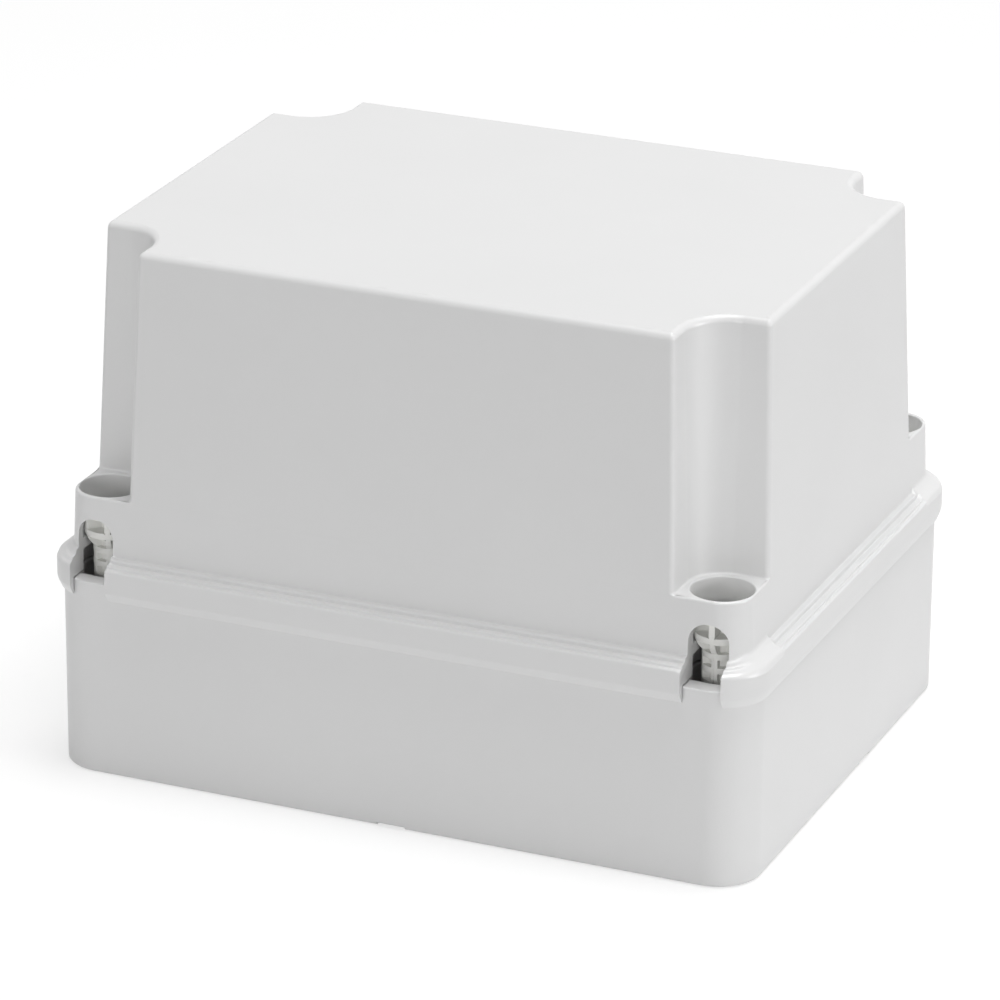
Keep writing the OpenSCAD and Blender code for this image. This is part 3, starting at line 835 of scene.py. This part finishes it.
lugs = boolean("INTERSECT", None, [disc(LUG_R, SCREW_FOOT, SCREW_FOOT + LUG_H),
                                   beam((LUG_W, 4 * LUG_R, 4 * LUG_H), SCREW_FOOT + LUG_H)])
slot = beam((SLOT_W, 2 * SLOT_HALF, 2 * SLOT_DEPTH), HEAD_TOP)
whole = boolean("DIFFERENCE", boolean("UNION", None, [body, lugs]), [slot])
turn = add(screw_tree, "ShaderNodeCombineXYZ", {2: given["Turn"]}).outputs[0]
set_in_place = add(screw_tree, "GeometryNodeTransform",
                   {"Geometry": whole, "Translation": given["Place"], "Rotation": turn})
end_tree(screw_tree, given, set_in_place.outputs[0])
print(f"the screw's tree has {len(screw_tree.nodes)} nodes")

# %% Make the four screws
joint_of = {joint["child"]: joint for joint in frame["joints"]}
for name, axis in SCREW_AXES.items():
    released = joint_of[name]["range_deg"][0]
    screw = run_tree(name + "_moulding", screw_tree, envelope.data, CoreRadius=3.3, Ribs=6,
                     RibWidth=1.7, Rings=3, RingThickness=1.65, RingPitch=3.8,
                     FirstRing=BASE_TOP - 1.7, Turn=math.radians(released),
                     Place=(axis.x, axis.y, 0), Material=screw_plastic)
    finish_piece(smooth(screw, bevel_mm=0.16), screw_plastic, name, "screw", name)
    tally(screw)
bpy.data.objects.remove(envelope)

# %% [markdown]
# ## The seal
# The seal is foamed into its groove in one piece. The tree sweeps a rectangle with rounded
# edges along the seal's path. The foam is nearly black and matt, with a skin of fine pores.

# %% Make the foam
def foamed(name, tone, pore_tone, roughness, pore_mm, pore_depth_mm):
    """A matt foam whose skin is dotted with pores."""
    material, tree, place, shader = new_material(name)
    cells = add(tree, "ShaderNodeTexVoronoi", {"Vector": place, "Scale": 1 / (pore_mm * MM)})
    pores = add(tree, "ShaderNodeMapRange", {"Value": cells.outputs["Distance"],
                "From Min": 0.12, "From Max": 0.42})
    tones = add(tree, "ShaderNodeMix", {0: pores.outputs[0], 6: colour(pore_tone),
                7: colour(tone)}, data_type="RGBA")
    bump = add(tree, "ShaderNodeBump", {"Height": pores.outputs[0],
               "Distance": pore_depth_mm * MM, "Strength": 1})
    tree.links.new(tones.outputs[2], shader.inputs["Base Color"])
    tree.links.new(bump.outputs[0], shader.inputs["Normal"])
    shader.inputs["Roughness"].default_value = roughness
    shader.inputs["IOR"].default_value = 1.45
    return material

seal_foam = foamed("foamed_polyurethane_black", "#2B2C2E", "#141415", 0.85, 0.7, 0.12)
print("made", seal_foam.name)

# %% Sweep the seal along its path
seal_tree, given = new_tree("swept_seal", Width="Float", Height="Float", Edge="Float",
                            Material="Material")
shape = add(seal_tree, "GeometryNodeCurvePrimitiveQuadrilateral",
            {"Width": given["Width"], "Height": given["Height"]})
edged = add(seal_tree, "GeometryNodeFilletCurve",
            {"Curve": shape.outputs[0], "Count": 4, "Radius": given["Edge"]}, mode="POLY")
upright = add(seal_tree, "GeometryNodeSetCurveNormal", {"Curve": given["Geometry"]}, mode="Z_UP")
swept = add(seal_tree, "GeometryNodeCurveToMesh",
            {"Curve": upright.outputs[0], "Profile Curve": edged.outputs[0]})
end_tree(seal_tree, given, swept.outputs[0])
seal_low, seal_high = box_mm("gasket")[0].z, box_mm("gasket")[1].z
FIT = 0.05                      # the seal clears the walls of its groove by this much
seal_width = SEAL_OUT + SEAL_IN - 2 * FIT
seal_middle = (SEAL_IN - SEAL_OUT) / 2
seal_route = ring(post_corner(RIM_X - seal_middle, RIM_Y - seal_middle, RIM_BEND + seal_middle,
                              seal_width / 2 + 0.1), (seal_low + seal_high) / 2)
seal = run_tree("foamed_seal", seal_tree, poly_curve("seal_route", seal_route), Width=seal_width,
                Height=seal_high - seal_low, Edge=0.5, Material=seal_foam)
finish_piece(smooth(seal), seal_foam, "lid", "gasket", "gasket")
tally(seal)

# %% [markdown]
# ## Caps and inserts
# Four caps cover the wall screws, and four brass inserts take the screws of an equipment
# plate. Both are turned shapes on a two by two grid. One tree makes them: it spins a
# profile, notes each point's distance from its own axis for the material, and copies the
# result to the grid. The caps are soft polyethylene with a waxy skin. The brass keeps the
# fine rings of the lathe's tool.

# %% Make the caps' plastic and the brass
cap_plastic = moulded("moulded_polyethylene_grey", "#B4B6B5", "#AEB0AF",
                      roughness=0.36, ior=1.51, grain_mm=1.4, grain_height_mm=0.02, drift_mm=9)
cap_shader = cap_plastic.node_tree.nodes["Principled BSDF"]
cap_shader.inputs["Subsurface Weight"].default_value = 0.15
cap_shader.inputs["Subsurface Radius"].default_value = (0.5 * MM,) * 3


def lathed(name, tone, dull_tone, roughness, pitch_mm, depth_mm):
    """A turned metal with the rings of the tool, read from the distance to the axis."""
    material, tree, place, shader = new_material(name)
    away = add(tree, "ShaderNodeAttribute", attribute_name="from_axis").outputs["Fac"]
    phase = add(tree, "ShaderNodeMath", {0: away, 1: 2 * math.pi / pitch_mm},
                operation="MULTIPLY").outputs[0]
    rings = add(tree, "ShaderNodeMath", {0: phase}, operation="SINE").outputs[0]
    stain = add(tree, "ShaderNodeTexNoise", {"Vector": place, "Scale": 1 / (1.5 * MM),
                "Detail": 4}).outputs["Fac"]
    tones = add(tree, "ShaderNodeMix", {0: stain, 6: colour(tone), 7: colour(dull_tone)},
                data_type="RGBA")
    gloss = add(tree, "ShaderNodeMapRange", {"Value": stain, "To Min": roughness - 0.06,
                "To Max": roughness + 0.1})
    bump = add(tree, "ShaderNodeBump", {"Height": rings, "Distance": depth_mm * MM,
               "Strength": 1})
    tree.links.new(tones.outputs[2], shader.inputs["Base Color"])
    tree.links.new(gloss.outputs[0], shader.inputs["Roughness"])
    tree.links.new(bump.outputs[0], shader.inputs["Normal"])
    shader.inputs["Metallic"].default_value = 1
    return material

insert_brass = lathed("turned_brass", "#D2AC66", "#B98F4B", 0.28, 0.12, 0.006)
print("made", cap_plastic.name, "and", insert_brass.name)

# %% Build the tree for turned pieces on a grid
grid_tree, given = new_tree("turned_on_a_grid", SpacingX="Float", SpacingY="Float",
                            Material="Material")
AXIS_R = 0.002                  # a circle this small is an axis to turn about
round_path = add(grid_tree, "GeometryNodeCurvePrimitiveCircle",
                 {"Resolution": 64, "Radius": AXIS_R})
spun = add(grid_tree, "GeometryNodeCurveToMesh",
           {"Curve": round_path.outputs[0], "Profile Curve": given["Geometry"]})
closed = add(grid_tree, "GeometryNodeMergeByDistance",
             {"Geometry": spun.outputs[0], "Distance": 5 * AXIS_R})
point = add(grid_tree, "GeometryNodeInputPosition").outputs[0]
flat = add(grid_tree, "ShaderNodeVectorMath", {0: point, 1: (1, 1, 0)}, operation="MULTIPLY")
away = add(grid_tree, "ShaderNodeVectorMath", {0: flat.outputs[0]}, operation="LENGTH")
noted = add(grid_tree, "GeometryNodeStoreNamedAttribute",
            {"Geometry": closed.outputs[0], "Name": "from_axis", "Value": away.outputs["Value"]},
            data_type="FLOAT", domain="POINT")
grid = add(grid_tree, "GeometryNodeMeshGrid",
           {"Size X": given["SpacingX"], "Size Y": given["SpacingY"], "Vertices X": 2,
            "Vertices Y": 2})
placed = add(grid_tree, "GeometryNodeInstanceOnPoints",
             {"Points": grid.outputs["Mesh"], "Instance": noted.outputs[0]})
end_tree(grid_tree, given, placed.outputs[0])


def turned_set(name, profile, closed_profile, spots, material, body, slot, prefix):
    """Spins a profile of (radius, height) pairs at four spots."""
    curve = poly_curve(name, [(r, -z, 0) for r, z in profile], closed_profile)
    piece = run_tree(name, grid_tree, curve, SpacingX=2 * abs(spots[0][0]),
                     SpacingY=2 * abs(spots[0][1]), Material=material)
    mesh = bmesh.new()
    mesh.from_mesh(piece.data)
    bmesh.ops.recalc_face_normals(mesh, faces=mesh.faces)
    mesh.to_mesh(piece.data)
    mesh.free()
    finish_piece(smooth(piece), material, body, slot,
                 *(n for n in frame["nodes"] if n.startswith(prefix)))
    tally(piece)

# %% Make the caps and the inserts
flange, top = COLLAR_R - 0.3, COLLAR_TOP + 1.4
STEM_R, STEM_HOLLOW_R, STEM_H = 5.6, 4.4, 3.5
cap_profile = [(0, top)] + rounded_profile(
    [(0.5, top), (flange, top), (flange, COLLAR_TOP), (STEM_R, COLLAR_TOP),
     (STEM_R, COLLAR_TOP - STEM_H), (STEM_HOLLOW_R, COLLAR_TOP - STEM_H),
     (STEM_HOLLOW_R, COLLAR_TOP), (0.5, COLLAR_TOP)],
    (0.6, 0.15, 0.1, 0.4, 0.2, 0.6)) + [(0, COLLAR_TOP)]
turned_set("fixing_caps", cap_profile, False, fixings, cap_plastic, "base", "fixing_cap",
           "fixing_cap")
low, high = BOSS_TOP - INSERT_H, BOSS_TOP
insert_profile = [(2.7, low), (3.0, low + 0.3), (3.0, low + 3.4), (2.6, low + 3.4),
                  (2.6, low + 4.6), (3.0, low + 4.6), (3.0, high - 0.3), (2.7, high),
                  (2.05, high), (1.65, high - 0.4), (1.65, low)]
turned_set("plate_inserts", insert_profile, True, inserts, insert_brass, "base", "plate_insert",
           "plate_insert")

# %% [markdown]
# ## Light, floor and camera
# The box stands on a pale sheet under a soft lamp that is almost overhead, so the top is
# brightest. Two low fills light the walls, and the one beside the box is the stronger, so
# the end wall is a little lighter than the long wall.

# %% Build the studio
SHEET_SIZE, SHEET_DROP = 12.0, 0.0002             # metres; the sheet lies just below the box
SHEET_GLOW = 0.66
SKY_ON_PIECES, SKY_SEEN = 0.2, 1.0


def stage_plane(name, size, z):
    data = bpy.data.meshes.new(name)
    half = size / 2
    data.from_pydata([(-half, -half, z), (half, -half, z), (half, half, z), (-half, half, z)],
                     [], [(0, 1, 2, 3)])
    plane = bpy.data.objects.new(name, data)
    bpy.context.scene.collection.objects.link(plane)
    plane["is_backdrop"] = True
    return plane


def seen_ray(tree):
    """1 for a ray that shows the studio itself, and 0 for one that carries its light."""
    rays = add(tree, "ShaderNodeLightPath")
    either = add(tree, "ShaderNodeMath", {0: rays.outputs["Is Camera Ray"],
                 1: rays.outputs["Is Glossy Ray"]}, operation="MAXIMUM")
    any_of = add(tree, "ShaderNodeMath", {0: either.outputs[0],
                 1: rays.outputs["Is Transmission Ray"]}, operation="MAXIMUM")
    return any_of.outputs[0]

floor = stage_plane("studio_floor", SHEET_SIZE, -SHEET_DROP)
sheet = bpy.data.materials.new("matt_white_paper")
sheet.use_nodes = True
tree = sheet.node_tree
tree.nodes.clear()
seen = seen_ray(tree)
shade = add(tree, "ShaderNodeBsdfDiffuse", {"Color": colour("#A8A8A8")})
glow = add(tree, "ShaderNodeEmission", {"Color": colour("#FFFFFF"), "Strength": SHEET_GLOW})
shown = add(tree, "ShaderNodeAddShader", {0: shade.outputs[0], 1: glow.outputs[0]})
paper = add(tree, "ShaderNodeBsdfDiffuse", {"Color": colour("#E6E6E6")})
both = add(tree, "ShaderNodeMixShader", {0: seen, 1: paper.outputs[0],
           2: shown.outputs[0]})
add(tree, "ShaderNodeOutputMaterial", {"Surface": both.outputs[0]})
floor.data.materials.append(sheet)

world = bpy.data.worlds.new("studio")
world.use_nodes = True
bpy.context.scene.world = world
tree = world.node_tree
tree.nodes.clear()
seen = seen_ray(tree)
strength = add(tree, "ShaderNodeMapRange", {"Value": seen, "To Min": SKY_ON_PIECES,
               "To Max": SKY_SEEN})
sky = add(tree, "ShaderNodeBackground", {"Color": colour("#FFFFFF"),
          "Strength": strength.outputs[0]})
add(tree, "ShaderNodeOutputWorld", {"Surface": sky.outputs[0]})


def soft_lamp(name, azimuth, elevation, distance, size, watts):
    data = bpy.data.lights.new(name, "AREA")
    data.shape, data.size, data.energy = "SQUARE", size, watts
    lamp = bpy.data.objects.new(name, data)
    a, e = math.radians(azimuth), math.radians(elevation)
    away = Vector((math.sin(a) * math.cos(e), -math.cos(a) * math.cos(e), math.sin(e)))
    lamp.location = (cad_low + cad_high) / 2 + away * distance
    lamp.rotation_mode = "QUATERNION"
    lamp.rotation_quaternion = (-away).to_track_quat("-Z", "Y")
    bpy.context.scene.collection.objects.link(lamp)
    return lamp

soft_lamp("key_softbox", azimuth=110, elevation=82, distance=1.8, size=1.0, watts=28)
soft_lamp("front_fill", azimuth=2, elevation=8, distance=3.5, size=1.0, watts=32)
soft_lamp("side_fill", azimuth=95, elevation=8, distance=3.5, size=1.0, watts=38)

# %% Set up the camera
camera_data = bpy.data.cameras.new("camera")
camera = bpy.data.objects.new("camera", camera_data)
bpy.context.scene.collection.objects.link(camera)
AZIMUTH, ELEVATION, ROLL = (math.radians(a) for a in (22.951, 21.913, 0.406))
DISTANCE, SENSOR_MM, LENS_MM = 1.5376, 36, 208.3
AIM_SHIFT = Vector((-1.203, -1.698, -8.434)) * MM
back = Vector((math.sin(AZIMUTH) * math.cos(ELEVATION),
               -math.cos(AZIMUTH) * math.cos(ELEVATION), math.sin(ELEVATION)))
aim = Vector((0, 0, (cad_low.z + cad_high.z) / 2)) + AIM_SHIFT
side = Vector((0, 0, 1)).cross(back).normalized()
above = back.cross(side)
camera_x = math.cos(ROLL) * side + math.sin(ROLL) * above
camera_y = -math.sin(ROLL) * side + math.cos(ROLL) * above
camera.matrix_world = Matrix.Translation(aim + back * DISTANCE) @ Matrix(
    (camera_x, camera_y, back)).transposed().to_4x4()
camera_data.sensor_width, camera_data.lens = SENSOR_MM, LENS_MM
camera_data.clip_start, camera_data.clip_end = 0.05, 60
bpy.context.scene.camera = camera
bpy.context.scene.view_settings.view_transform = "Standard"
print(f"camera at {[round(c, 3) for c in camera.location]}")

# %% Find the bounds of the pieces
low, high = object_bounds()
